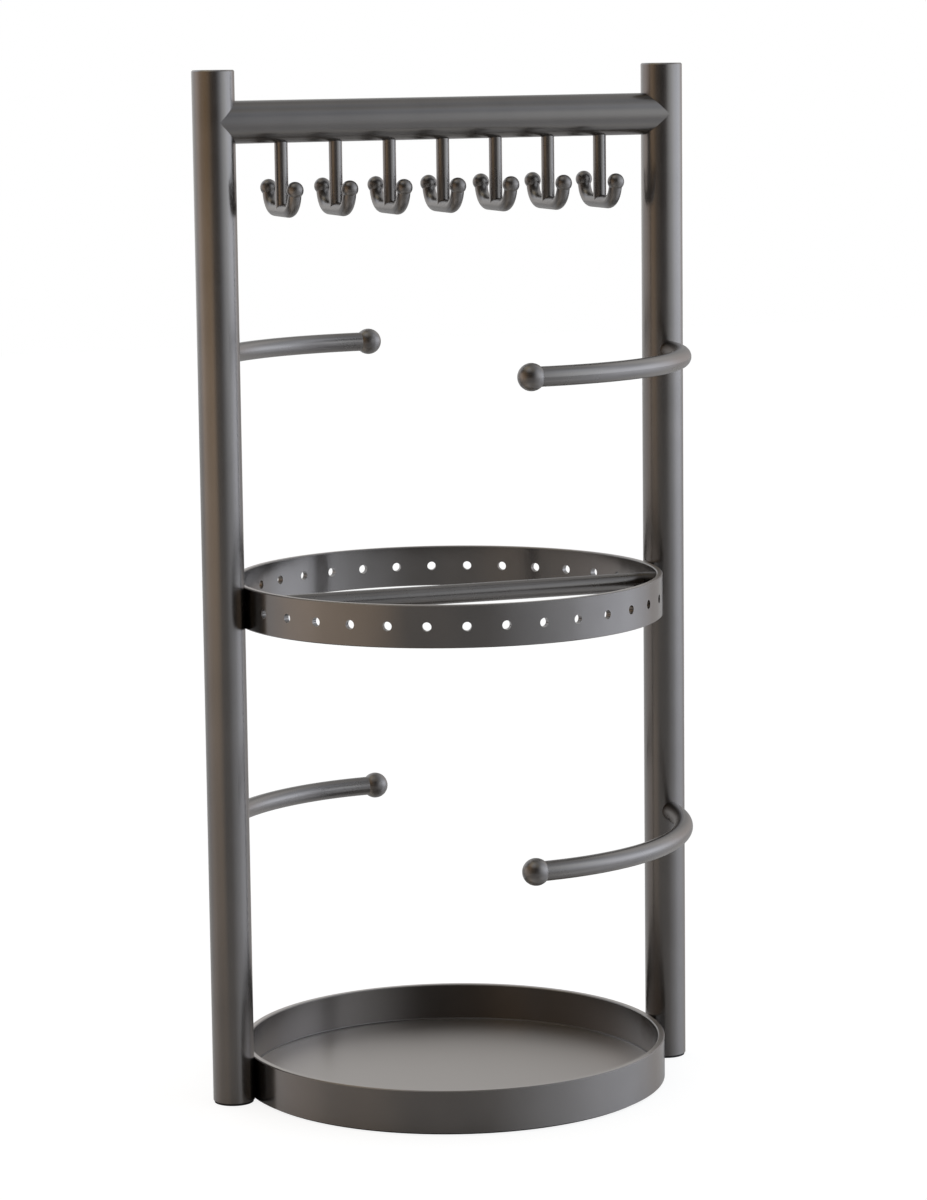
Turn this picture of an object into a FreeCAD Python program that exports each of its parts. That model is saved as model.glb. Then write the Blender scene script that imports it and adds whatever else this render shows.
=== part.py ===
"""Jewellery stand: two posts, a crossbar of double hooks, a pierced earring band, four arms and a tray.

Frame: the origin is under the middle of the tray, X runs from post to post, -Y is the front, +Z is up.
All sizes are in millimetres and sit in the sheet called Sizes.
"""
import FreeCAD, Part
import Sketcher
import os

PARTS_FOLDER = "parts"
TOLERANCE = 1e-6

# how Sketcher numbers the points of an edge, and the sketch's own origin and axes
START, END, CENTRE = range(1, 4)
ORIGIN = H_AXIS = -1
V_AXIS = H_AXIS - 1

SIZES = [
    # round pieces that the posts carry
    ("ring_diameter", 145.0, "outer diameter of the earring band and of the tray"),
    ("saddle_depth", 0.3, "how deep the band and the tray sit in each post"),
    # posts and crossbar, all tube
    ("post_diameter", 14.0, "outer diameter of each post"),
    ("post_wall", 1.5, "tube wall of the posts"),
    ("post_overrun", 17.0, "top of the posts above the axis of the crossbar"),
    ("crossbar_diameter", 14.0, "outer diameter of the crossbar"),
    ("crossbar_wall", 1.5, "tube wall of the crossbar"),
    ("crossbar_level", 328.0, "axis of the crossbar above the table"),
    # plugs in the ends of the posts
    ("cap_thickness", 1.0, "flange of each top cap"),
    ("cap_bevel", 0.4, "bevel round each top cap"),
    ("plug_depth", 8.0, "how far a cap or foot reaches into its post"),
    ("plug_clearance", 0.1, "gap between a plug and the bore, all round"),
    ("plug_lead", 0.6, "bevel on the inner end of a plug"),
    ("foot_thickness", 0.8, "feet and tray pad under the metal"),
    ("foot_inset", 0.4, "foot flange inside the edge of the post"),
    # hooks under the crossbar
    ("hook_count", 7, "double hooks along the crossbar"),
    ("hook_end_margin", 15.8, "clear crossbar between each post and the middle of the hook beside it"),
    ("hook_rod_diameter", 4.4, "rod of the stems and cradles"),
    ("hook_drop", 29.0, "axis of the crossbar to the axis of the cradle's flat run"),
    ("hook_reach", 14.2, "centre of a hook's ball in front of and behind the crossbar"),
    ("hook_bend", 7.0, "bend radius of the cradle at the rod's axis"),
    ("hook_bend_angle", 76.0, "how far each end of the cradle turns up"),
    ("hook_ball_step", 0.6, "radius of each hook ball beyond the radius of its rod"),
    # arms
    ("arm_diameter", 6.5, "rod of the arms"),
    ("arm_ball_step", 1.25, "radius of each arm ball beyond the radius of its rod"),
    ("upper_arm_level", 248.0, "axis of the upper arms above the table"),
    ("lower_arm_level", 88.0, "axis of the lower arms above the table"),
    ("arm_sweep", 87.75, "angle that each arm's rod sweeps round the middle of the stand"),
    # earring band
    ("band_level", 168.0, "middle of the earring band above the table"),
    ("band_height", 14.0, "height of the band"),
    ("band_wall", 2.0, "wall of the band"),
    ("band_bevel", 0.3, "bevel on the band's rims"),
    ("hole_diameter", 3.0, "earring holes"),
    ("hole_count", 16, "earring holes in each half of the band"),
    ("hole_margin_angle", 13.15, "angle between a post and the first hole beside it"),
    ("cross_rod_diameter", 6.5, "rod that runs through the band from post to post"),
    # tray
    ("tray_height", 15.0, "rim of the tray above the table"),
    ("tray_wall", 2.2, "wall of the tray"),
    ("tray_floor", 1.6, "floor of the tray"),
    ("tray_corner", 0.6, "inner radius between the tray's wall and floor"),
    ("tray_bevel", 0.3, "bevel on the tray's rim"),
    ("pad_inset", 1.5, "pad inside the edge of the tray"),
]

doc = FreeCAD.newDocument("jewellery_stand")
sheet = doc.addObject("Spreadsheet::Sheet", "Sizes")
for row, (alias, value, meaning) in enumerate(SIZES, start=1):
    sheet.set("A%d" % row, alias)
    sheet.set("B%d" % row, str(value))
    sheet.set("C%d" % row, meaning)
    sheet.setAlias("B%d" % row, alias)
doc.recompute()

# distances that several pieces share, written as expressions over the sheet
POST_R = "Sizes.post_diameter / 2"
RING_R = "Sizes.ring_diameter / 2"
POST_X = "(Sizes.ring_diameter / 2 + Sizes.post_diameter / 2 - Sizes.saddle_depth)"
POST_BORE_R = "(Sizes.post_diameter / 2 - Sizes.post_wall)"
POST_TOP = "(Sizes.crossbar_level + Sizes.post_overrun - Sizes.cap_thickness)"
POST_LENGTH = "(%s - Sizes.foot_thickness)" % POST_TOP
CRADLE_LEVEL = "(Sizes.crossbar_level - Sizes.hook_drop)"
HOOK_PITCH = "(2 * (%s - %s - Sizes.hook_end_margin) / (Sizes.hook_count - 1))" % (POST_X, POST_R)
HOOK_R = "Sizes.hook_rod_diameter / 2"
HOOK_BALL_R = "(Sizes.hook_rod_diameter / 2 + Sizes.hook_ball_step)"
ARM_R = "Sizes.arm_diameter / 2"
ARM_BALL_R = "(Sizes.arm_diameter / 2 + Sizes.arm_ball_step)"


def seat_depth(rod_radius, ball_radius):
    """Centre of a ball to the flat on it that is as wide as its rod."""
    return "sqrt(pow(%s; 2) - pow(%s; 2))" % (ball_radius, rod_radius)


HOOK_SEAT = seat_depth(HOOK_R, HOOK_BALL_R)
ARM_SEAT = seat_depth(ARM_R, ARM_BALL_R)
HALF_RUN = ("(Sizes.hook_reach - Sizes.hook_bend * sin(Sizes.hook_bend_angle)"
            " - %s * cos(Sizes.hook_bend_angle))" % HOOK_SEAT)
TIP_RISE = ("(Sizes.hook_bend * (1 - cos(Sizes.hook_bend_angle))"
            " + %s * sin(Sizes.hook_bend_angle))" % HOOK_SEAT)

nodes = []


def add_node(obj, label):
    """Names a finished sub-part, which is written to its own file."""
    obj.Label = label
    nodes.append(obj)
    return obj


def place(obj, x="0", y="0", z="0", turn=0.0):
    """Binds a sub-part's position to the sheet; turn is about the vertical, in degrees."""
    obj.Placement = FreeCAD.Placement(FreeCAD.Vector(), FreeCAD.Rotation(FreeCAD.Vector(0, 0, 1), turn))
    for axis, expression in (("x", x), ("y", y), ("z", z)):
        if expression != "0":
            obj.setExpression("Placement.Base." + axis, expression)


def new_body(name):
    return doc.addObject("PartDesign::Body", name)


def origin_feature(body, role):
    """One of the body's own origin planes or axes."""
    for feature in body.Origin.OriginFeatures:
        if feature.Role == role:
            return feature
    raise ValueError("no origin feature " + role)


def new_sketch(body, name, role):
    sketch = body.newObject("Sketcher::SketchObject", name)
    sketch.AttachmentSupport = (origin_feature(body, role), [""])
    sketch.MapMode = "FlatFace"
    return sketch


def constrain(sketch, kind, *where, name=None, expression=None):
    """Adds one constraint; a dimension takes its value from an expression over the sheet."""
    index = sketch.addConstraint(Sketcher.Constraint(kind, *where))
    if name:
        sketch.renameConstraint(index, name)
        sketch.setExpression("Constraints." + name, expression)


def number(expression):
    """The value that an expression over the sheet has now."""
    return float(sheet.evalExpression(expression))


def add_circle(sketch, radius, x=None, y=None):
    """A circle at the sketch's origin, or at x and y, with its sizes bound to the sheet."""
    centre = FreeCAD.Vector(number(x or "0"), number(y or "0"), 0)
    circle = sketch.addGeometry(Part.Circle(centre, FreeCAD.Vector(0, 0, 1), number(radius)), False)
    if x is None and y is None:
        constrain(sketch, "Coincident", circle, CENTRE, ORIGIN, START)
    elif y is None:
        constrain(sketch, "PointOnObject", circle, CENTRE, H_AXIS)
        constrain(sketch, "DistanceX", ORIGIN, START, circle, CENTRE, number(x),
                  name="across%d" % circle, expression=x)
    elif x is None:
        constrain(sketch, "PointOnObject", circle, CENTRE, V_AXIS)
        constrain(sketch, "DistanceY", ORIGIN, START, circle, CENTRE, number(y),
                  name="up%d" % circle, expression=y)
    constrain(sketch, "Radius", circle, number(radius), name="radius%d" % circle, expression=radius)


def add_profile(sketch, points):
    """A closed outline of straight edges; each corner is an (x, y) pair of expressions."""
    corners = [FreeCAD.Vector(number(x), number(y), 0) for x, y in points]
    edges = []
    for index, corner in enumerate(corners):
        following = corners[(index + 1) % len(corners)]
        edges.append(sketch.addGeometry(Part.LineSegment(corner, following), False))
    for index, edge in enumerate(edges):
        constrain(sketch, "Coincident", edge, END, edges[(index + 1) % len(edges)], START)
    for index, (x, y) in enumerate(points):
        if x == "0":
            constrain(sketch, "PointOnObject", edges[index], START, V_AXIS)
        else:
            constrain(sketch, "DistanceX", ORIGIN, START, edges[index], START, number(x),
                      name="across%d" % index, expression=x)
        if y == "0":
            constrain(sketch, "PointOnObject", edges[index], START, H_AXIS)
        else:
            constrain(sketch, "DistanceY", ORIGIN, START, edges[index], START, number(y),
                      name="up%d" % index, expression=y)


def add_pad(body, sketch, name, length, both_ways=False):
    pad = body.newObject("PartDesign::Pad", name)
    pad.Profile = sketch
    if both_ways:
        pad.SideType = "Symmetric"
    pad.setExpression("Length", length)
    return pad


def add_pocket(body, sketch, name, length=None):
    """Cuts a sketch out of its body: downwards by a length, or right through both ways."""
    pocket = body.newObject("PartDesign::Pocket", name)
    pocket.Profile = sketch
    if length is None:
        pocket.SideType = "Symmetric"
        pocket.Type = "ThroughAll"
    else:
        pocket.setExpression("Length", length)
    return pocket


def add_revolution(body, sketch, name, axis="V_Axis", angle="360"):
    """Turns a sketch about its own vertical axis, or about its construction line."""
    revolution = body.newObject("PartDesign::Revolution", name)
    revolution.Profile = sketch
    revolution.ReferenceAxis = (sketch, [axis])
    revolution.setExpression("Angle", angle)
    return revolution


def rim_edges(feature, level, radii):
    """Names of the circular edges at a height of the feature's own frame, with one of some radii."""
    names = []
    for index, edge in enumerate(feature.Shape.Edges, start=1):
        if not isinstance(edge.Curve, Part.Circle):
            continue
        at_level = abs(edge.Curve.Center.z - level) < TOLERANCE
        if at_level and any(abs(edge.Curve.Radius - radius) < TOLERANCE for radius in radii):
            names.append("Edge%d" % index)
    return names


def expect_more(before, after, what):
    """A turned or mirrored piece that falls inside its solid adds nothing and shows no error."""
    if after.Shape.Volume <= before.Shape.Volume + TOLERANCE:
        raise ValueError(what + " added nothing")


def expect_less(before, after, what):
    """A cut that points away from its solid removes nothing and shows no error."""
    if after.Shape.Volume >= before.Shape.Volume - TOLERANCE:
        raise ValueError(what + " cut nothing")


# ---------------------------------------------------------------- posts
def make_post(label, side):
    """A tube with two shallow saddles, in which the earring band and the tray sit."""
    body = new_body("Body_" + label)
    ring = new_sketch(body, "Section_" + label, "XY_Plane")
    add_circle(ring, POST_R)
    add_circle(ring, POST_BORE_R)
    tube = add_pad(body, ring, "Tube_" + label, POST_LENGTH)
    doc.recompute()
    towards_middle = "%d * %s" % (-side, POST_X)
    saddles = (
        ("Band", "Sizes.band_level + Sizes.band_height / 2 - Sizes.foot_thickness", "Sizes.band_height"),
        ("Tray", "Sizes.tray_height - Sizes.foot_thickness", "Sizes.tray_height - Sizes.foot_thickness"),
    )
    for name, top, length in saddles:
        outline = new_sketch(body, "%sOutline_%s" % (name, label), "XY_Plane")
        outline.setExpression("AttachmentOffset.Base.z", top)
        add_circle(outline, RING_R, x=towards_middle)
        before = body.Tip
        saddle = add_pocket(body, outline, "%sSaddle_%s" % (name, label), length)
        doc.recompute()
        expect_less(before, saddle, saddle.Name)
    place(body, x="%d * %s" % (side, POST_X), z="Sizes.foot_thickness")
    return add_node(body, label)


def make_cap(label, side):
    """A bevelled flange on a plug that fills the post's top end."""
    body = new_body("Body_" + label)
    outline = new_sketch(body, "Outline_" + label, "XZ_Plane")
    plug_r = "(%s - Sizes.plug_clearance)" % POST_BORE_R
    add_profile(outline, [
        ("0", "0 - Sizes.plug_depth"),
        (plug_r + " - Sizes.plug_lead", "0 - Sizes.plug_depth"),
        (plug_r, "Sizes.plug_lead - Sizes.plug_depth"),
        (plug_r, "0"),
        (POST_R, "0"),
        (POST_R, "Sizes.cap_thickness - Sizes.cap_bevel"),
        (POST_R + " - Sizes.cap_bevel", "Sizes.cap_thickness"),
        ("0", "Sizes.cap_thickness"),
    ])
    add_revolution(body, outline, "Turned_" + label)
    place(body, x="%d * %s" % (side, POST_X), z=POST_TOP)
    return add_node(body, label)


def make_foot(label, side):
    """A soft plug in the post's lower end, whose flange stands on the table."""
    body = new_body("Body_" + label)
    outline = new_sketch(body, "Outline_" + label, "XZ_Plane")
    plug_r = "(%s - Sizes.plug_clearance)" % POST_BORE_R
    flange_r = "(%s - Sizes.foot_inset)" % POST_R
    add_profile(outline, [
        ("0", "0"),
        (flange_r, "0"),
        (flange_r, "Sizes.foot_thickness"),
        (plug_r, "Sizes.foot_thickness"),
        (plug_r, "Sizes.plug_depth - Sizes.plug_lead"),
        (plug_r + " - Sizes.plug_lead", "Sizes.plug_depth"),
        ("0", "Sizes.plug_depth"),
    ])
    add_revolution(body, outline, "Turned_" + label)
    place(body, x="%d * %s" % (side, POST_X))
    return add_node(body, label)


# ---------------------------------------------------------------- crossbar and its hooks
def make_crossbar():
    """A tube from post to post, its ends coped to the posts."""
    body = new_body("Body_top_crossbar")
    ring = new_sketch(body, "CrossbarSection", "YZ_Plane")
    add_circle(ring, "Sizes.crossbar_diameter / 2")
    add_circle(ring, "Sizes.crossbar_diameter / 2 - Sizes.crossbar_wall")
    tube = add_pad(body, ring, "CrossbarTube", "2 * " + POST_X, both_ways=True)
    doc.recompute()
    copes = new_sketch(body, "CrossbarCopes", "XY_Plane")
    add_circle(copes, POST_R, x="0 - " + POST_X)
    add_circle(copes, POST_R, x=POST_X)
    cut = add_pocket(body, copes, "CrossbarCoped")
    doc.recompute()
    expect_less(tube, cut, cut.Name)
    place(body, z="Sizes.crossbar_level")
    return add_node(body, "top_crossbar")


def make_hook_stem(label, along):
    """A rod from the crossbar down to the cradle, coped over both."""
    body = new_body("Body_" + label)
    section = new_sketch(body, "Section_" + label, "XY_Plane")
    add_circle(section, HOOK_R)
    rod = add_pad(body, section, "Rod_" + label, "Sizes.hook_drop")
    doc.recompute()
    top = new_sketch(body, "TopCope_" + label, "YZ_Plane")
    add_circle(top, "Sizes.crossbar_diameter / 2", y="Sizes.hook_drop")
    upper = add_pocket(body, top, "CopedTop_" + label)
    doc.recompute()
    expect_less(rod, upper, upper.Name)
    bottom = new_sketch(body, "BottomCope_" + label, "XZ_Plane")
    add_circle(bottom, HOOK_R)
    lower = add_pocket(body, bottom, "CopedBottom_" + label)
    doc.recompute()
    expect_less(upper, lower, lower.Name)
    place(body, x=along, z=CRADLE_LEVEL)
    return add_node(body, label)


def make_hook_cradle(label, along):
    """A rod bent to a wide U: a flat run under the crossbar and a quarter bend up to each tip."""
    body = new_body("Body_" + label)
    section = new_sketch(body, "Section_" + label, "XZ_Plane")
    add_circle(section, HOOK_R)
    run = add_pad(body, section, "Run_" + label, "2 * " + HALF_RUN, both_ways=True)
    doc.recompute()
    end = new_sketch(body, "BendSection_" + label, "XZ_Plane")
    end.setExpression("AttachmentOffset.Base.z", HALF_RUN)
    add_circle(end, HOOK_R)
    half_width = number(HOOK_R)
    height = number("Sizes.hook_bend")
    axis = end.addGeometry(Part.LineSegment(
        FreeCAD.Vector(-half_width, height, 0), FreeCAD.Vector(half_width, height, 0)), True)
    constrain(end, "Symmetric", axis, START, axis, END, V_AXIS)
    constrain(end, "DistanceX", ORIGIN, START, axis, END, half_width, name="half", expression=HOOK_R)
    constrain(end, "DistanceY", ORIGIN, START, axis, END, height, name="bend",
              expression="Sizes.hook_bend")
    front = add_revolution(body, end, "FrontBend_" + label, axis="Axis0",
                           angle="Sizes.hook_bend_angle")
    front.Reversed = True
    doc.recompute()
    expect_more(run, front, front.Name)
    both = body.newObject("PartDesign::Mirrored", "BackBend_" + label)
    both.Originals = [front]
    both.MirrorPlane = (origin_feature(body, "XZ_Plane"), [""])
    body.Tip = both
    doc.recompute()
    expect_more(front, both, both.Name)
    place(body, x=along, z=CRADLE_LEVEL)
    return add_node(body, label)


def make_ball(label, rod_radius, ball_radius):
    """A ball with a flat as wide as its rod, which sits square on the rod's tip."""
    ball = doc.addObject("Part::Sphere", "Ball_" + label)
    ball.setExpression("Radius", ball_radius)
    ball.setExpression("Angle1", "-1 * acos(%s / %s)" % (rod_radius, ball_radius))
    return add_node(ball, label)


def make_hook_ball(label, along, side):
    """side is -1 in front of the crossbar and 1 behind it."""
    ball = make_ball(label, HOOK_R, HOOK_BALL_R)
    ball.Placement.Rotation = FreeCAD.Rotation(FreeCAD.Vector(-side, 0, 0), 1)
    ball.setExpression("Placement.Rotation.Angle", "90 - Sizes.hook_bend_angle")
    ball.setExpression("Placement.Base.x", along)
    ball.setExpression("Placement.Base.y", "%d * Sizes.hook_reach" % side)
    ball.setExpression("Placement.Base.z", "%s + %s" % (CRADLE_LEVEL, TIP_RISE))
    return ball


def make_arm_ball(label, level, side):
    """side is 1 for the arm that leaves the right post and -1 for the left."""
    ball = make_ball(label, ARM_R, ARM_BALL_R)
    ball.Placement.Rotation = FreeCAD.Rotation(FreeCAD.Vector(0, -side, 0), 90)
    ball.setExpression("Placement.Rotation.Axis.x", "%d * cos(Sizes.arm_sweep)" % side)
    ball.setExpression("Placement.Rotation.Axis.y", "%d * sin(Sizes.arm_sweep)" % -side)
    across = "(%s * cos(Sizes.arm_sweep) - %s * sin(Sizes.arm_sweep))" % (POST_X, ARM_SEAT)
    forward = "(%s * sin(Sizes.arm_sweep) + %s * cos(Sizes.arm_sweep))" % (POST_X, ARM_SEAT)
    ball.setExpression("Placement.Base.x", "%d * %s" % (side, across))
    ball.setExpression("Placement.Base.y", "%d * %s" % (-side, forward))
    ball.setExpression("Placement.Base.z", level)
    return ball


# ---------------------------------------------------------------- arms
def make_arm(label, level, turn):
    """A rod bent round the middle of the stand, coped to its post; turn is 0 for the right post."""
    body = new_body("Body_" + label)
    section = new_sketch(body, "Section_" + label, "XZ_Plane")
    add_circle(section, ARM_R, x=POST_X)
    bent = add_revolution(body, section, "Bent_" + label, angle="Sizes.arm_sweep")
    bent.Reversed = True
    doc.recompute()
    cope = new_sketch(body, "Cope_" + label, "XY_Plane")
    add_circle(cope, POST_R, x=POST_X)
    coped = add_pocket(body, cope, "Coped_" + label)
    doc.recompute()
    expect_less(bent, coped, coped.Name)
    place(body, z=level, turn=turn)
    return add_node(body, label)


# ---------------------------------------------------------------- earring band
def make_band():
    """A bevelled hoop, drilled straight through both walls for each opposite pair of earring holes."""
    body = new_body("Body_earring_band")
    ring = new_sketch(body, "BandSection", "XY_Plane")
    add_circle(ring, RING_R)
    add_circle(ring, RING_R + " - Sizes.band_wall")
    hoop = add_pad(body, ring, "BandHoop", "Sizes.band_height", both_ways=True)
    doc.recompute()
    outer = number(RING_R)
    inner = outer - number("Sizes.band_wall")
    half_height = number("Sizes.band_height / 2")
    bevel = body.newObject("PartDesign::Chamfer", "BandBevel")
    bevel.Base = (hoop, rim_edges(hoop, half_height, (outer, inner)) +
                  rim_edges(hoop, -half_height, (outer, inner)))
    bevel.setExpression("Size", "Sizes.band_bevel")
    doc.recompute()
    seats = new_sketch(body, "CrossRodSeats", "YZ_Plane")
    add_circle(seats, "Sizes.cross_rod_diameter / 2")
    seated = add_pocket(body, seats, "BandSeats")
    doc.recompute()
    expect_less(bevel, seated, seated.Name)
    hole = new_sketch(body, "EarringHole", "XZ_Plane")
    hole.AttachmentOffset = FreeCAD.Placement(FreeCAD.Vector(), FreeCAD.Rotation(FreeCAD.Vector(0, 1, 0), 1))
    hole.setExpression("AttachmentOffset.Rotation.Angle", "Sizes.hole_margin_angle - 90")
    add_circle(hole, "Sizes.hole_diameter / 2")
    drilled = add_pocket(body, hole, "FirstHoles")
    doc.recompute()
    expect_less(seated, drilled, drilled.Name)
    pattern = body.newObject("PartDesign::PolarPattern", "EarringHoles")
    pattern.Originals = [drilled]
    pattern.Axis = (origin_feature(body, "Z_Axis"), [""])
    pattern.setExpression("Angle", "180 - 2 * Sizes.hole_margin_angle")
    pattern.setExpression("Occurrences", "Sizes.hole_count")
    body.Tip = pattern
    place(body, z="Sizes.band_level")
    return add_node(body, "earring_band")


def make_cross_rod():
    """A rod through the band along X, its ends flush with the band's outside, against the posts."""
    rod = doc.addObject("Part::Cylinder", "CrossRodBar")
    rod.setExpression("Radius", "Sizes.cross_rod_diameter / 2")
    rod.setExpression("Height", "Sizes.ring_diameter")
    rod.Placement.Rotation = FreeCAD.Rotation(FreeCAD.Vector(0, 1, 0), 90)
    rod.setExpression("Placement.Base.x", "0 - " + RING_R)
    rod.setExpression("Placement.Base.z", "Sizes.band_level")
    disc = doc.addObject("Part::Cylinder", "CrossRodEnds")
    disc.setExpression("Radius", RING_R)
    disc.setExpression("Height", "2 * Sizes.cross_rod_diameter")
    disc.setExpression("Placement.Base.z", "Sizes.band_level - Sizes.cross_rod_diameter")
    trimmed = doc.addObject("Part::MultiCommon", "CrossRod")
    trimmed.Shapes = [rod, disc]
    return add_node(trimmed, "band_cross_rod")


# ---------------------------------------------------------------- tray
def make_tray():
    """A turned dish with an upright wall, a flat floor and bevelled rims."""
    body = new_body("Body_tray")
    outline = new_sketch(body, "TrayOutline", "XZ_Plane")
    inner = "(%s - Sizes.tray_wall)" % RING_R
    metal_height = "(Sizes.tray_height - Sizes.foot_thickness)"
    add_profile(outline, [
        ("0", "0"),
        (RING_R, "0"),
        (RING_R, metal_height),
        (inner, metal_height),
        (inner, "Sizes.tray_floor"),
        ("0", "Sizes.tray_floor"),
    ])
    turned = add_revolution(body, outline, "TrayTurned")
    doc.recompute()
    corner = body.newObject("PartDesign::Fillet", "TrayCorner")
    corner.Base = (turned, rim_edges(turned, number("Sizes.tray_floor"), (number(inner),)))
    corner.setExpression("Radius", "Sizes.tray_corner")
    doc.recompute()
    rims = (number(RING_R), number(inner))
    bevel = body.newObject("PartDesign::Chamfer", "TrayBevel")
    bevel.Base = (corner, rim_edges(corner, number(metal_height), rims))
    bevel.setExpression("Size", "Sizes.tray_bevel")
    place(body, z="Sizes.foot_thickness")
    return add_node(body, "tray")


def make_tray_pad():
    """A thin soft disc under the tray."""
    pad = doc.addObject("Part::Cylinder", "TrayPad")
    pad.setExpression("Radius", RING_R + " - Sizes.pad_inset")
    pad.setExpression("Height", "Sizes.foot_thickness")
    return add_node(pad, "tray_pad")


# ---------------------------------------------------------------- the whole stand
for side, side_name in ((-1, "left"), (1, "right")):
    make_post(side_name + "_post", side)
    make_cap(side_name + "_post_cap", side)
    make_foot(side_name + "_post_foot", side)

make_crossbar()

hook_count = int(number("Sizes.hook_count"))
for index in range(hook_count):
    along = "%s * %s" % (index - (hook_count - 1) / 2, HOOK_PITCH)
    hook_name = "hook_%d_" % (index + 1)
    make_hook_stem(hook_name + "stem", along)
    make_hook_cradle(hook_name + "cradle", along)
    make_hook_ball(hook_name + "ball_front", along, -1)
    make_hook_ball(hook_name + "ball_back", along, 1)

for level_name in ("upper", "lower"):
    level = "Sizes.%s_arm_level" % level_name
    for side_name, turn, side in (("right", 0.0, 1), ("left", 180.0, -1)):
        label = "%s_%s_arm" % (level_name, side_name)
        make_arm(label, level, turn)
        make_arm_ball(label + "_ball", level, side)

make_band()
make_cross_rod()
make_tray()
make_tray_pad()

doc.recompute()
for obj in doc.Objects:
    if "Invalid" in obj.State or "Error" in obj.State:
        raise ValueError("%s did not compute: %s" % (obj.Label, obj.State))
for node in nodes:
    if node.Shape.isNull() or not node.Shape.isValid() or len(node.Shape.Solids) != 1:
        raise ValueError(node.Label + " is not one valid solid")

os.makedirs(PARTS_FOLDER, exist_ok=True)
for node in nodes:
    node.Shape.exportStep(os.path.join(PARTS_FOLDER, node.Label + ".step"))
print("%d sub-parts" % len(nodes))
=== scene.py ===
"""Jewellery stand: looks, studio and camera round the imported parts.

Everything is in metres, in the frame of the parts: the origin is under the middle of the tray, X
runs from post to post, -Y is the front and +Z is up.
"""
import math

import bpy
from mathutils import Matrix, Vector

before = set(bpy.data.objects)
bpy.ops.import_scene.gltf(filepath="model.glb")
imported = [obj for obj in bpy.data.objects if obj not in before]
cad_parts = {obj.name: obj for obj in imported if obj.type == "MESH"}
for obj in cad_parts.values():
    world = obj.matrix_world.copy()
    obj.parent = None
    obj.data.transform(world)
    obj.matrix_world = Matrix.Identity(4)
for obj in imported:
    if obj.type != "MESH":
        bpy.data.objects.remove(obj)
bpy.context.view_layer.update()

# ---------------------------------------------------------------- finishes
# Colours are linear.
GUNMETAL = (0.187, 0.177, 0.170)       # graphite coat over steel
GUNMETAL_SWING = 0.05                  # how far the coat clouds, darker and lighter
EDGE_WEAR_AND_HIGHLIGHT = (0.240, 0.230, 0.222)     # paler along sharp edges: partly thin, worn coat, partly a painted highlight
CORNER_PAINTED_SHADE = (0.090, 0.085, 0.082)    # painted shade: dark in the corner round the tray's base
UPWARD_PAINTED_LIGHT = (0.470, 0.444, 0.422)        # painted light: upward faces, the tray's base and both rims, paler as if lit from above
PAD_BLACK = (0.018, 0.018, 0.019)

# Roughness where the cloud is thin and where it is thick.
TUBE_GLOSS = (0.22, 0.27)
ROD_GLOSS = (0.25, 0.30)
BALL_GLOSS = (0.32, 0.37)
PLATE_GLOSS = (0.15, 0.19)
PAD_GLOSS = (0.75, 0.95)
MATT_ROUGHNESS = 0.40                  # on edges and on faces that look up

# Noise: its scale, and how many finer layers it has.
CLOUD = (60.0, 4.0)
GRAIN = (2600.0, 2.0)
PEBBLE = (2200.0, 2.0)
NOISE_SPAN = (0.3, 0.7)                # where most of a noise's values lie

# Bumps: their strength and height.
GRAIN_BUMP = (0.03, 0.0001)
PEBBLE_BUMP = (0.4, 0.0002)

# An edge is found by comparing the face's direction with its average within EDGE_REACH. The two
# levels are the cosine of the angle between them where the edge begins and where it is full.
EDGE_REACH = 0.0004
EDGE_SAMPLES = 4
EDGE_BEGINS, EDGE_FULL = 0.99, 0.85

# The upward part of a face's direction, where a mask begins and where it is full.
TILTED = (0.1, 0.5)
LEVEL = (0.9, 0.99)
CORNER_BAND = (0.003, 0.004)           # the painted corner shade ends between these two heights

# ---------------------------------------------------------------- floor
FLOOR_HALF = 3.0
FLOOR_DIFFUSE = 0.5         # how pale the polished floor is
FLOOR_GLOSS = 0.4           # share of its light that is mirrored
FLOOR_GLOSS_ROUGHNESS = 0.12
FLOOR_LIFT = 0.86           # light that the floor gives to the camera, of a white of 1
FLOOR_SHADOW = 0.25         # how pale the paper is that takes the shadow on top of it
FLOOR_GLOW = 0.1            # light that the floor gives to a metal that mirrors it

# ---------------------------------------------------------------- room
WHITE = (1.0, 1.0, 1.0)
IVORY = (1.08, 0.98, 0.94)
BUFF = (1.20, 1.05, 0.75)
COOL = (0.92, 0.98, 1.08)
# What the stand sees of the room: compass direction in degrees from the front, turning towards the
# right, with the light level and tint seen there, at three heights. It is white behind the stand.
ROOM_LOW = (
    (-180, 1.1, WHITE), (-150, 1.1, WHITE), (-120, 1.05, IVORY), (-90, 0.18, COOL),
    (-60, 0.0, WHITE), (-30, 0.0, WHITE), (0, 0.135, IVORY), (30, 0.99, COOL), (60, 1.78, COOL),
    (90, 2.09, COOL), (120, 0.87, IVORY), (150, 0.4, WHITE), (180, 1.1, WHITE))
ROOM_MIDDLE = (
    (-180, 1.1, WHITE), (-150, 1.44, COOL), (-120, 0.0, WHITE), (0, 0.02, WHITE),
    (30, 0.82, COOL), (60, 1.55, COOL), (90, 0.97, COOL), (120, 1.22, WHITE),
    (150, 0.46, WHITE), (180, 1.1, WHITE))
ROOM_HIGH = (
    (-180, 0.23, WHITE), (-120, 0.88, BUFF), (-60, 1.0, COOL), (0, 0.375, BUFF),
    (60, 0.577, COOL), (120, 0.617, WHITE), (180, 0.23, WHITE))
# Degrees above the horizon over which one ring blends into the next.
LOW_TO_MIDDLE = (12.0, 30.0)
MIDDLE_TO_HIGH = (40.0, 62.0)
RING_PEAK = 2.4             # a level above every stop's

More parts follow.
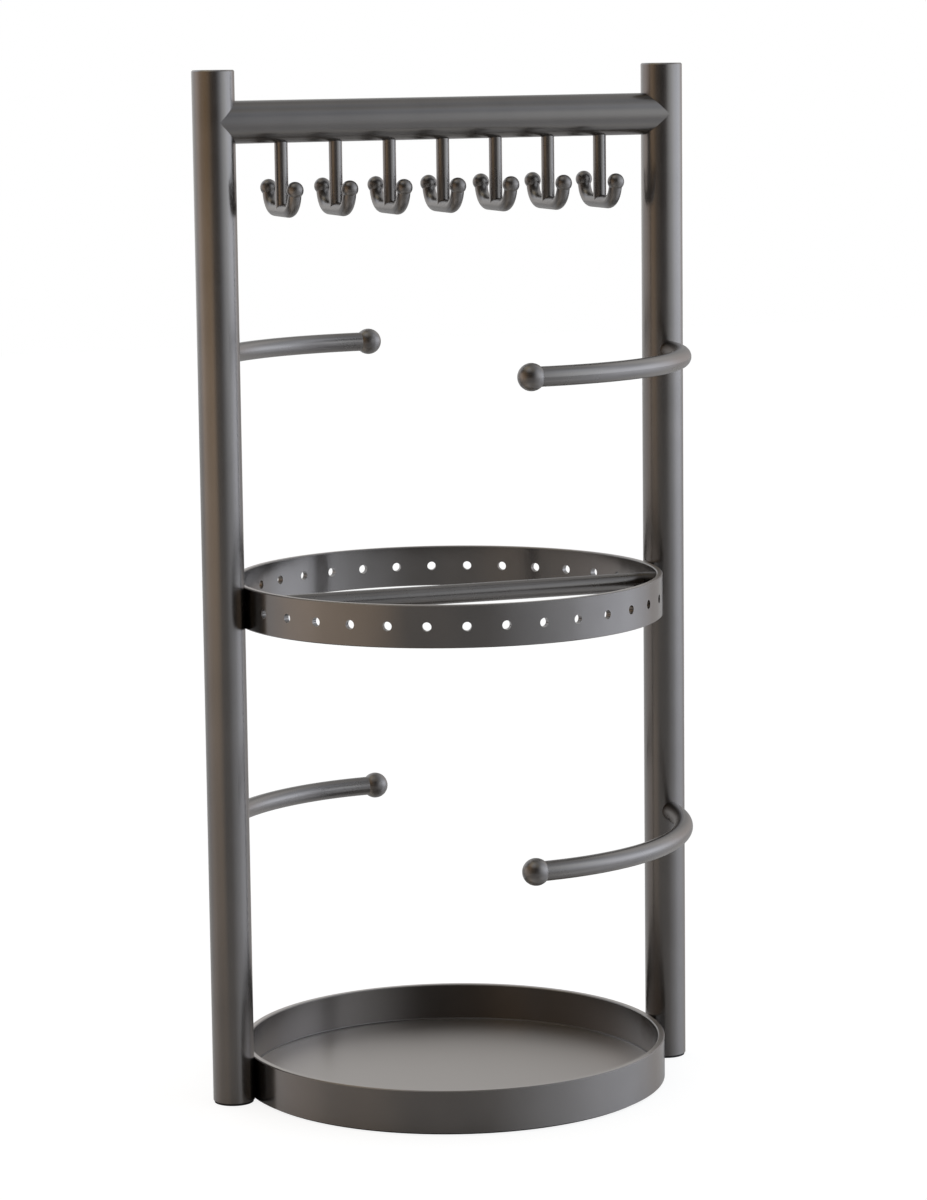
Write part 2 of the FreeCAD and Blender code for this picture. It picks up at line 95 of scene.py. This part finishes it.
# ---------------------------------------------------------------- lamps
# Name, place, the point it faces, width, height, radiance and colour of each soft lamp: two warm
# ones close on the left, a weak one in front of them, and a pair on the right.
LAMPS = (
    ("left_near_high", (-0.25, -0.05, 0.32), (0, 0, 0.32), 0.45, 0.50, 0.50, (1.0, 0.67, 0.37)),
    ("left_near_low", (-0.25, -0.05, 0.12), (0, 0, 0.12), 0.45, 0.50, 0.40, (1.0, 0.74, 0.50)),
    ("left_front", (-0.35, -0.40, 0.30), (0, 0, 0.30), 0.7, 0.8, 0.13, (1.0, 0.77, 0.58)),
    ("right_front", (0.35, -0.45, 0.40), (0, 0, 0.40), 0.7, 0.6, 0.34, (1.0, 1.0, 0.85)),
    ("right_low", (0.45, -0.10, 0.15), (0, 0, 0.15), 0.8, 0.7, 0.50, (0.80, 0.86, 1.0)))
LAMP_RIM = 0.5              # half a lamp's side, of a side of 1

# ---------------------------------------------------------------- camera
CAMERA_PLACE = (-0.449316, -1.229783, 0.359269)
CAMERA_YAW, CAMERA_PITCH, CAMERA_ROLL = -20.296, 8.399, -0.688     # degrees
CAMERA_SENSOR = 36.0
CAMERA_LENS = 3910.214 * CAMERA_SENSOR / 1200.0     # both lengths in pixels of a 1200 px frame
CAMERA_NEAR = 0.05


# ---------------------------------------------------------------- materials
def new_material(name):
    """A node material with a Principled shader; returns it, its nodes, links and shader."""
    material = bpy.data.materials.new(name)
    material.use_nodes = True
    tree = material.node_tree
    return material, tree.nodes, tree.links, tree.nodes["Principled BSDF"]


def object_noise(nodes, links, scale, detail):
    """Noise on the object's own coordinates."""
    coordinates = nodes.new("ShaderNodeTexCoord")
    noise = nodes.new("ShaderNodeTexNoise")
    noise.inputs["Scale"].default_value = scale
    noise.inputs["Detail"].default_value = detail
    links.new(coordinates.outputs["Object"], noise.inputs["Vector"])
    return noise.outputs["Fac"]


def map_range(nodes, links, value, low, high, to_low, to_high, smooth=False):
    """Clamped remap of a value, straight or eased at both ends."""
    remap = nodes.new("ShaderNodeMapRange")
    if smooth:
        remap.interpolation_type = "SMOOTHSTEP"
    for socket, number in (("From Min", low), ("From Max", high),
                           ("To Min", to_low), ("To Max", to_high)):
        remap.inputs[socket].default_value = number
    links.new(value, remap.inputs["Value"])
    return remap.outputs["Result"]


def put(links, given, socket):
    """Links a socket to another, or sets a plain number or colour on it."""
    if isinstance(given, bpy.types.NodeSocket):
        links.new(given, socket)
    elif isinstance(given, tuple):
        socket.default_value = (*given, 1.0)
    else:
        socket.default_value = given


def mix(nodes, links, factor, first, second, kind="RGBA"):
    """Blends two colours, or two numbers with kind FLOAT; each is a socket or a plain value."""
    blend = nodes.new("ShaderNodeMix")
    blend.data_type = kind
    links.new(factor, blend.inputs["Factor"])
    put(links, first, blend.inputs["A"])
    put(links, second, blend.inputs["B"])
    return blend.outputs["Result"]


def calculate(nodes, links, operation, *values):
    """One step of arithmetic on sockets or plain numbers."""
    step = nodes.new("ShaderNodeMath")
    step.operation = operation
    for value, socket in zip(values, step.inputs):
        put(links, value, socket)
    return step.outputs[0]


def add_bump(nodes, links, height, strength, distance, shader):
    """Raises the surface by a height socket, in the shader's light only."""
    bump = nodes.new("ShaderNodeBump")
    bump.inputs["Strength"].default_value = strength
    bump.inputs["Distance"].default_value = distance
    links.new(height, bump.inputs["Height"])
    links.new(bump.outputs["Normal"], shader.inputs["Normal"])


def upward_mask(nodes, links, begins, full):
    """0 up to begins and 1 from full on, of the upward part of the face's direction."""
    facing = nodes.new("ShaderNodeNewGeometry")
    upward = nodes.new("ShaderNodeSeparateXYZ")
    links.new(facing.outputs["Normal"], upward.inputs[0])
    return map_range(nodes, links, upward.outputs["Z"], begins, full, 0.0, 1.0)


def low_part(nodes, links, mask):
    """The mask below CORNER_BAND, faded across it, and 0 above."""
    place = nodes.new("ShaderNodeTexCoord")
    height = nodes.new("ShaderNodeSeparateXYZ")
    links.new(place.outputs["Object"], height.inputs[0])
    low = map_range(nodes, links, height.outputs["Z"], *CORNER_BAND, 1.0, 0.0)
    return calculate(nodes, links, "MULTIPLY", mask, low)


def edge_mask(nodes, links):
    """1 along sharp edges and 0 away from them."""
    rounded = nodes.new("ShaderNodeBevel")
    rounded.samples = EDGE_SAMPLES
    rounded.inputs["Radius"].default_value = EDGE_REACH
    facing = nodes.new("ShaderNodeNewGeometry")
    agree = nodes.new("ShaderNodeVectorMath")
    agree.operation = "DOT_PRODUCT"
    links.new(rounded.outputs["Normal"], agree.inputs[0])
    links.new(facing.outputs["Normal"], agree.inputs[1])
    return map_range(nodes, links, agree.outputs["Value"], EDGE_BEGINS, EDGE_FULL, 0.0, 1.0)


def gunmetal(name, gloss_range, turned=False):
    """Satin graphite coat: metal under a fine sprayed grain, whose colour and roughness cloud
    between two levels. On turned plate the coat is paler along sharp edges, partly worn and partly
    a painted highlight; the upward faces are matt and painted pale, a painted light from above; and
    the corner round the base is painted dark, a painted shade."""
    material, nodes, links, shader = new_material(name)
    cloud = object_noise(nodes, links, *CLOUD)
    grain = object_noise(nodes, links, *GRAIN)
    tint = map_range(nodes, links, cloud, *NOISE_SPAN, 0.0, 1.0)
    darker = tuple((1 - GUNMETAL_SWING) * part for part in GUNMETAL)
    lighter = tuple((1 + GUNMETAL_SWING) * part for part in GUNMETAL)
    colour = mix(nodes, links, tint, darker, lighter)
    gloss = map_range(nodes, links, cloud, *NOISE_SPAN, *gloss_range)
    if turned:
        edges = edge_mask(nodes, links)
        tilted = upward_mask(nodes, links, *TILTED)
        corner_shade = low_part(nodes, links, tilted)
        level = upward_mask(nodes, links, *LEVEL)
        # Paler edges are partly wear and partly a painted highlight, the dark corner is painted
        # shade, and the pale upward faces are painted light.
        for mask, coat in ((edges, EDGE_WEAR_AND_HIGHLIGHT), (corner_shade, CORNER_PAINTED_SHADE), (level, UPWARD_PAINTED_LIGHT)):
            colour = mix(nodes, links, mask, colour, coat)
        for mask in (edges, tilted):
            gloss = mix(nodes, links, mask, gloss, MATT_ROUGHNESS, kind="FLOAT")
    links.new(colour, shader.inputs["Base Color"])
    shader.inputs["Metallic"].default_value = 1.0
    links.new(gloss, shader.inputs["Roughness"])
    add_bump(nodes, links, grain, *GRAIN_BUMP, shader)
    return material


def pad_rubber():
    """Matt black foam rubber with a fine pebble, twice as pale on top of each pebble."""
    material, nodes, links, shader = new_material("pad_rubber")
    pebble = object_noise(nodes, links, *PEBBLE)
    pebble_top = tuple(2 * part for part in PAD_BLACK)
    links.new(mix(nodes, links, pebble, PAD_BLACK, pebble_top), shader.inputs["Base Color"])
    links.new(map_range(nodes, links, pebble, *NOISE_SPAN, *PAD_GLOSS), shader.inputs["Roughness"])
    add_bump(nodes, links, pebble, *PEBBLE_BUMP, shader)
    return material


def finish_nodes():
    """Gives each carried-over part its finish."""
    tube_metal = gunmetal("tube_coat", TUBE_GLOSS)
    rod_metal = gunmetal("rod_coat", ROD_GLOSS)
    ball_metal = gunmetal("ball_coat", BALL_GLOSS)
    band_metal = gunmetal("band_coat", PLATE_GLOSS, turned=True)
    tray_metal = gunmetal("tray_coat", PLATE_GLOSS, turned=True)
    rubber = pad_rubber()
    for name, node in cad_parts.items():
        if name.endswith("_foot") or name == "tray_pad":
            material = rubber
        elif "post" in name or name == "top_crossbar":
            material = tube_metal
        elif name == "earring_band":
            material = band_metal
        elif name == "tray":
            material = tray_metal
        elif "ball" in name or "cradle" in name:
            material = ball_metal
        else:
            material = rod_metal
        node.data.materials.clear()
        node.data.materials.append(material)


# ---------------------------------------------------------------- floor and light
def seen_directly(nodes, links):
    """The light path's node, and 1 for rays from the camera or through something clear."""
    path = nodes.new("ShaderNodeLightPath")
    seen = calculate(nodes, links, "MAXIMUM",
                     path.outputs["Is Camera Ray"], path.outputs["Is Transmission Ray"])
    return path, seen


def mix_shaders(nodes, links, factor, first, second):
    """Blends two shader nodes by a factor, which is a socket or a plain number."""
    blend = nodes.new("ShaderNodeMixShader")
    put(links, factor, blend.inputs["Fac"])
    links.new(first.outputs[0], blend.inputs[1])
    links.new(second.outputs[0], blend.inputs[2])
    return blend


def make_floor():
    """A wide polished white sheet under the stand. What the camera sees of it is lifted to white,
    so that the stand's soft shadow is all that shows on it."""
    mesh = bpy.data.meshes.new("studio_floor")
    corners = [(FLOOR_HALF * x, FLOOR_HALF * y, 0) for x, y in ((-1, -1), (1, -1), (1, 1), (-1, 1))]
    mesh.from_pydata(corners, [], [(0, 1, 2, 3)])
    floor = bpy.data.objects.new("studio_floor", mesh)
    bpy.context.scene.collection.objects.link(floor)
    material = bpy.data.materials.new("pale_floor")
    material.use_nodes = True
    nodes, links = material.node_tree.nodes, material.node_tree.links
    nodes.clear()
    output = nodes.new("ShaderNodeOutputMaterial")
    paper = nodes.new("ShaderNodeBsdfDiffuse")
    put(links, (FLOOR_DIFFUSE,) * 3, paper.inputs["Color"])
    shine = nodes.new("ShaderNodeBsdfAnisotropic")
    put(links, WHITE, shine.inputs["Color"])
    shine.inputs["Roughness"].default_value = FLOOR_GLOSS_ROUGHNESS
    polished = mix_shaders(nodes, links, FLOOR_GLOSS, paper, shine)
    shadowed = nodes.new("ShaderNodeBsdfDiffuse")
    put(links, (FLOOR_SHADOW,) * 3, shadowed.inputs["Color"])
    path, seen = seen_directly(nodes, links)
    mirrored = calculate(nodes, links, "MULTIPLY", path.outputs["Is Glossy Ray"], FLOOR_GLOW)
    glow = calculate(nodes, links, "MULTIPLY_ADD", seen, FLOOR_LIFT, mirrored)
    bright = nodes.new("ShaderNodeEmission")
    links.new(glow, bright.inputs["Strength"])
    surface = mix_shaders(nodes, links, seen, polished, shadowed)
    lit = nodes.new("ShaderNodeAddShader")
    links.new(surface.outputs[0], lit.inputs[0])
    links.new(bright.outputs[0], lit.inputs[1])
    links.new(lit.outputs[0], output.inputs["Surface"])
    mesh.materials.append(material)


def compass_ramp(nodes, links, turn, ring):
    """Light levels round the compass, in proportion to RING_PEAK, blended straight from one stop
    to the next. The ramp runs from 0 at -180 degrees to 1 at 180."""
    ramp = nodes.new("ShaderNodeValToRGB")
    stops = ramp.color_ramp.elements
    for inner in ring[1:-1]:
        stops.new((inner[0] + 180) / 360)
    for stop, (bearing, level, colour) in zip(stops, ring):
        stop.position = (bearing + 180) / 360
        stop.color = (*(level / RING_PEAK * part for part in colour), 1.0)
    links.new(turn, ramp.inputs["Fac"])
    return ramp.outputs["Color"]


def make_world():
    """The camera and through-going rays see white. Other rays see the room: white behind the stand,
    cool and bright on its right, dark in front and on its left, with a paler ceiling."""
    world = bpy.data.worlds.new("studio")
    bpy.context.scene.world = world
    world.use_nodes = True
    nodes, links = world.node_tree.nodes, world.node_tree.links
    nodes.clear()
    output = nodes.new("ShaderNodeOutputWorld")
    direction = nodes.new("ShaderNodeTexCoord").outputs["Generated"]
    split = nodes.new("ShaderNodeSeparateXYZ")
    links.new(direction, split.inputs[0])
    forward = calculate(nodes, links, "MULTIPLY", split.outputs["Y"], -1.0)
    bearing = calculate(nodes, links, "ARCTAN2", split.outputs["X"], forward)
    turn = map_range(nodes, links, bearing, -math.pi, math.pi, 0.0, 1.0)
    light = compass_ramp(nodes, links, turn, ROOM_LOW)
    for ring, (start, end) in ((ROOM_MIDDLE, LOW_TO_MIDDLE), (ROOM_HIGH, MIDDLE_TO_HIGH)):
        rise = map_range(nodes, links, split.outputs["Z"], math.sin(math.radians(start)),
                         math.sin(math.radians(end)), 0.0, 1.0, smooth=True)
        light = mix(nodes, links, rise, light, compass_ramp(nodes, links, turn, ring))
    room = nodes.new("ShaderNodeBackground")
    room.inputs["Strength"].default_value = RING_PEAK
    links.new(light, room.inputs["Color"])
    white = nodes.new("ShaderNodeBackground")
    put(links, WHITE, white.inputs["Color"])
    seen = seen_directly(nodes, links)[1]
    links.new(mix_shaders(nodes, links, seen, room, white).outputs[0], output.inputs["Surface"])


def add_softbox(name, place, target, width, height, radiance, colour):
    """A rectangular soft lamp that faces a target, brightest in the middle and faded to nothing at
    its edges."""
    lamp = bpy.data.lights.new(name, "AREA")
    lamp.shape = "RECTANGLE"
    lamp.size, lamp.size_y = width, height
    lamp.energy = math.pi * width * height * radiance
    lamp.color = colour
    lamp.use_nodes = True
    nodes, links = lamp.node_tree.nodes, lamp.node_tree.links
    across = nodes.new("ShaderNodeNewGeometry")
    centre = nodes.new("ShaderNodeVectorMath")
    centre.operation = "SUBTRACT"
    centre.inputs[1].default_value = (LAMP_RIM, LAMP_RIM, 0.0)
    links.new(across.outputs["Parametric"], centre.inputs[0])
    folded = nodes.new("ShaderNodeVectorMath")
    folded.operation = "ABSOLUTE"
    links.new(centre.outputs["Vector"], folded.inputs[0])
    sides = nodes.new("ShaderNodeSeparateXYZ")
    links.new(folded.outputs["Vector"], sides.inputs[0])
    reach = calculate(nodes, links, "MAXIMUM", sides.outputs["X"], sides.outputs["Y"])
    fade = map_range(nodes, links, reach, 0.0, LAMP_RIM, 1.0, 0.0, smooth=True)
    links.new(fade, nodes["Emission"].inputs["Strength"])
    lamp_object = bpy.data.objects.new(name, lamp)
    bpy.context.scene.collection.objects.link(lamp_object)
    direction = Vector(target) - Vector(place)
    lamp_object.rotation_euler = direction.to_track_quat("-Z", "Y").to_euler()
    lamp_object.location = place
    lamp_object.visible_camera = False


# ---------------------------------------------------------------- camera
def make_camera():
    """Long lens, turned about Z, then tipped about X, then rolled about the view axis."""
    yaw, pitch, roll = map(math.radians, (CAMERA_YAW, CAMERA_PITCH, CAMERA_ROLL))
    camera = bpy.data.cameras.new("camera")
    camera.sensor_width = CAMERA_SENSOR
    camera.lens = CAMERA_LENS
    camera.clip_start = CAMERA_NEAR
    camera_object = bpy.data.objects.new("camera", camera)
    bpy.context.scene.collection.objects.link(camera_object)
    camera_object.matrix_world = (
        Matrix.Translation(Vector(CAMERA_PLACE)) @ Matrix.Rotation(yaw, 4, "Z")
        @ Matrix.Rotation(math.pi / 2 - pitch, 4, "X") @ Matrix.Rotation(roll, 4, "Z"))
    bpy.context.scene.camera = camera_object


finish_nodes()
make_floor()
make_world()
for softbox in LAMPS:
    add_softbox(*softbox)
make_camera()
bpy.context.scene.view_settings.view_transform = "Standard"
